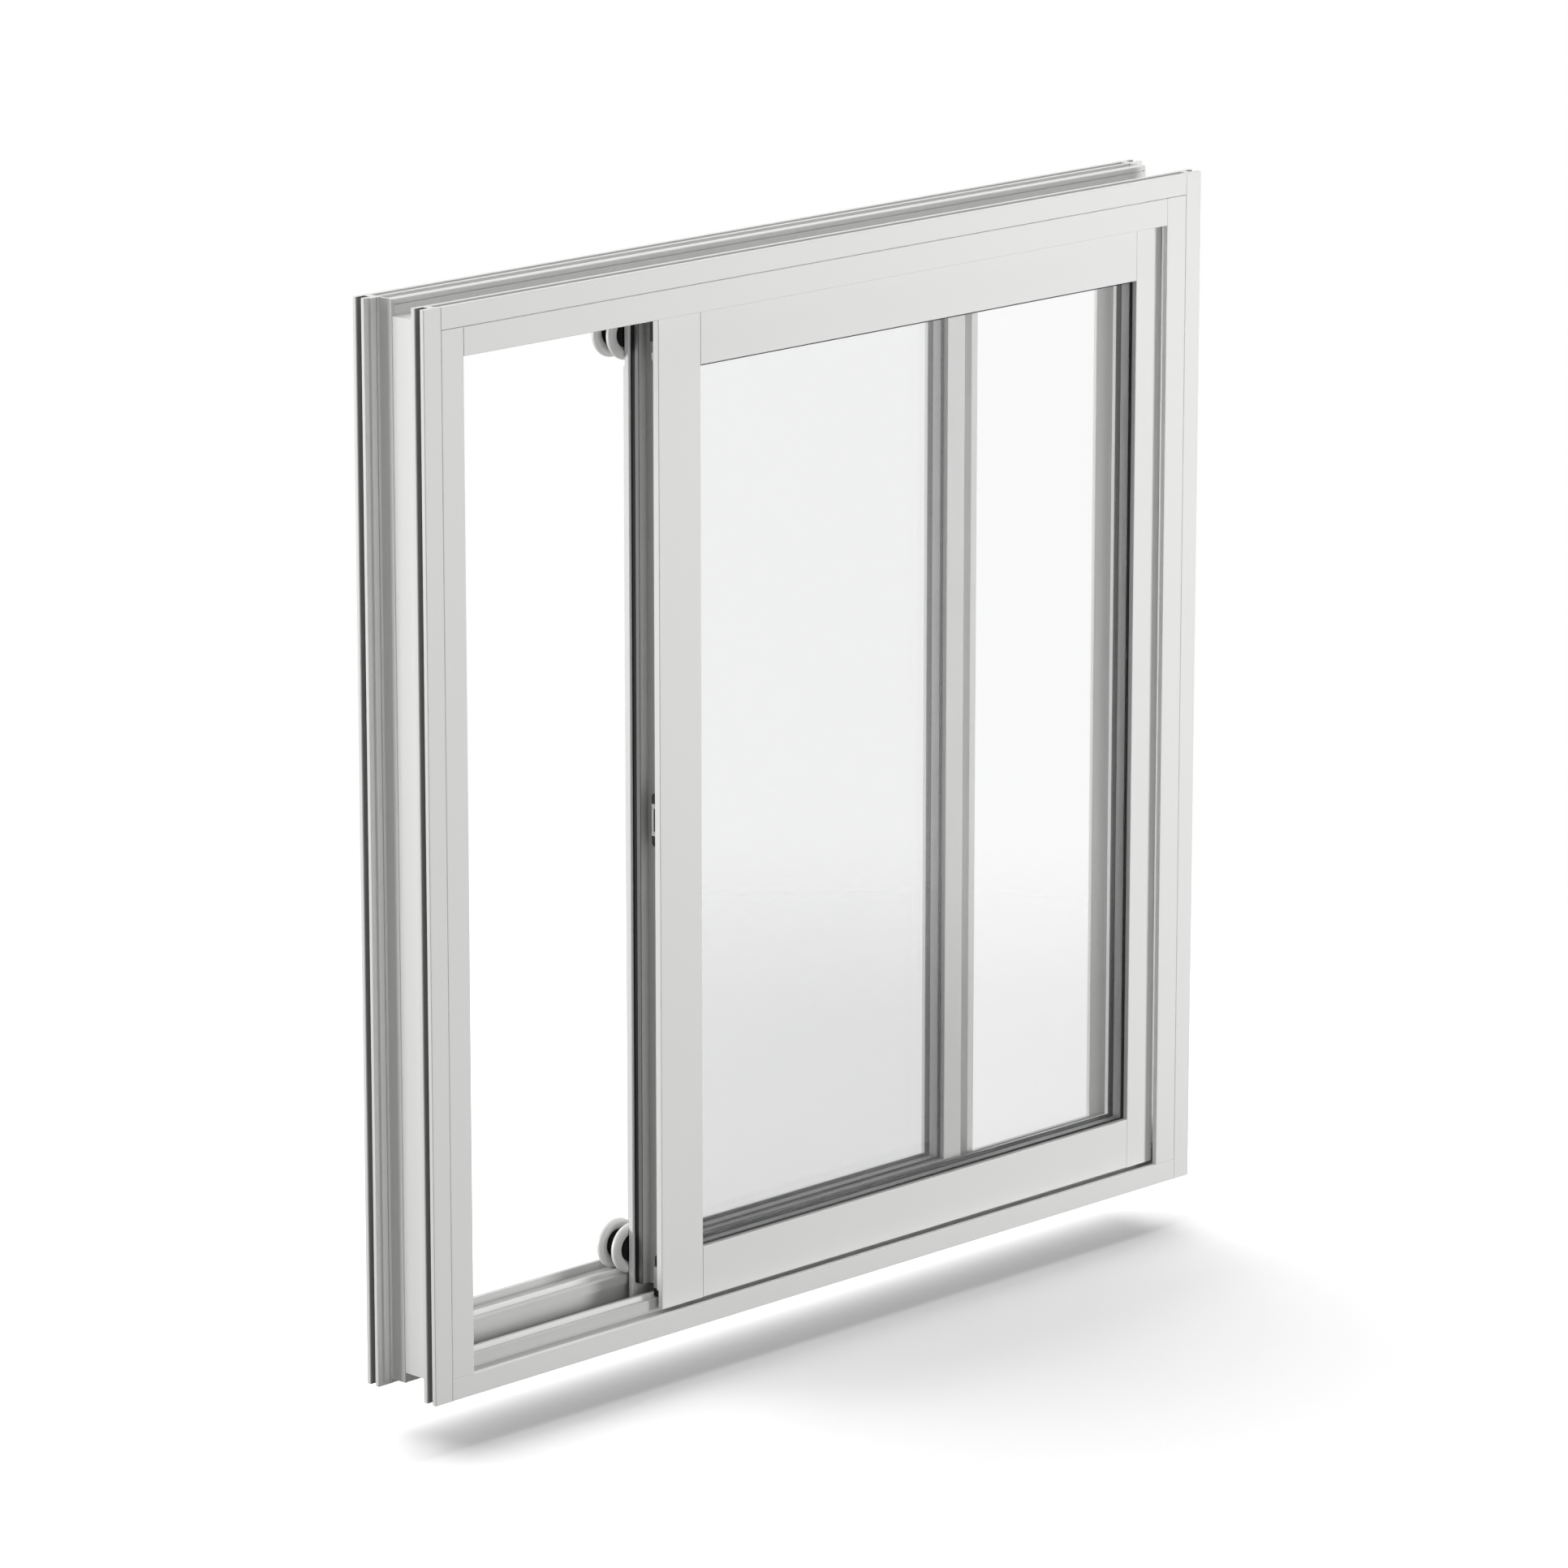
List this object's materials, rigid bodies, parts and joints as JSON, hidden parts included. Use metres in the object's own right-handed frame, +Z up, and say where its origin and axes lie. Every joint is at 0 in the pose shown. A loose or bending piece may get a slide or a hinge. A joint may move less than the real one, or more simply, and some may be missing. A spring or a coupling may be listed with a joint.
{
  "type": "horizontal sliding window",
  "caption": "White coated aluminium sliding window: a flanged frame with raised tracks, a front sash and a back sash on grooved rollers, each with a double glass unit.",
  "frame": {"origin": "On the back face of the front wall flange, at the middle of its run under the sill.", "axes": "+X along the tracks to the right as seen from the front, +Y from the front face into the wall, +Z up."},
  "size_m": [1, 0.0925, 1],
  "materials": {
    "coated_aluminium": "satin",
    "pane_glass": "gloss",
    "gasket_rubber": "matte",
    "spacer_aluminium": "satin",
    "roller_nylon": "satin",
    "black_plastic": "matte",
    "plated_steel": "satin"
  },
  "bodies": {
    "frame": {"left_jamb": "coated_aluminium", "right_jamb": "coated_aluminium", "sill": "coated_aluminium", "head": "coated_aluminium", "left_cover_strip": "coated_aluminium", "right_cover_strip": "coated_aluminium", "head_cover_strip": "coated_aluminium", "front_rail": "coated_aluminium", "back_rail": "coated_aluminium", "front_guide": "coated_aluminium", "back_guide": "coated_aluminium"},
    "front_sash": {"front_left_stile": "coated_aluminium", "front_right_stile": "coated_aluminium", "front_bottom_rail": "coated_aluminium", "front_top_rail": "coated_aluminium", "front_near_pane": "pane_glass", "front_far_pane": "pane_glass", "front_spacer": "spacer_aluminium", "front_near_gasket": "gasket_rubber", "front_far_gasket": "gasket_rubber", "front_rollers": "roller_nylon", "latch_case": "black_plastic", "latch_plate": "plated_steel", "bottom_bracket": "plated_steel", "bracket_pads": "black_plastic", "top_guide_block": "black_plastic", "top_knob": "plated_steel", "meeting_brush_seal": "black_plastic"},
    "back_sash": {"back_left_stile": "coated_aluminium", "back_right_stile": "coated_aluminium", "back_bottom_rail": "coated_aluminium", "back_top_rail": "coated_aluminium", "back_near_pane": "pane_glass", "back_far_pane": "pane_glass", "back_spacer": "spacer_aluminium", "back_near_gasket": "gasket_rubber", "back_far_gasket": "gasket_rubber", "back_roller": "roller_nylon", "low_roller_fork": "plated_steel", "high_roller_fork": "plated_steel"},
    "low_roller": {"low_roller_wheels": "roller_nylon", "low_roller_hub": "black_plastic"},
    "high_roller": {"high_roller_wheels": "roller_nylon", "high_roller_hub": "black_plastic"}
  },
  "joints": [
    {"name": "front_sash_slide", "type": "slide", "parent": "frame", "child": "front_sash", "axis": [1, 0, 0], "range_m": [-0.2489, 0]},
    {"name": "back_sash_slide", "type": "slide", "parent": "frame", "child": "back_sash", "axis": [1, 0, 0], "range_m": [-0.247, 0.2057]},
    {"name": "low_roller_spin", "type": "hinge", "parent": "back_sash", "child": "low_roller", "pos_m": [-0.2009, 0.0525, 0.0618], "axis": [0, 1, 0], "continuous": true},
    {"name": "high_roller_spin", "type": "hinge", "parent": "back_sash", "child": "high_roller", "pos_m": [-0.2009, 0.0525, 0.9232], "axis": [0, 1, 0], "continuous": true}
  ],
  "couplings": [
    {"joint": "low_roller_spin", "follows": "back_sash_slide", "rad_per_m": 41.667},
    {"joint": "high_roller_spin", "follows": "back_sash_slide", "rad_per_m": -41.667}
  ]
}
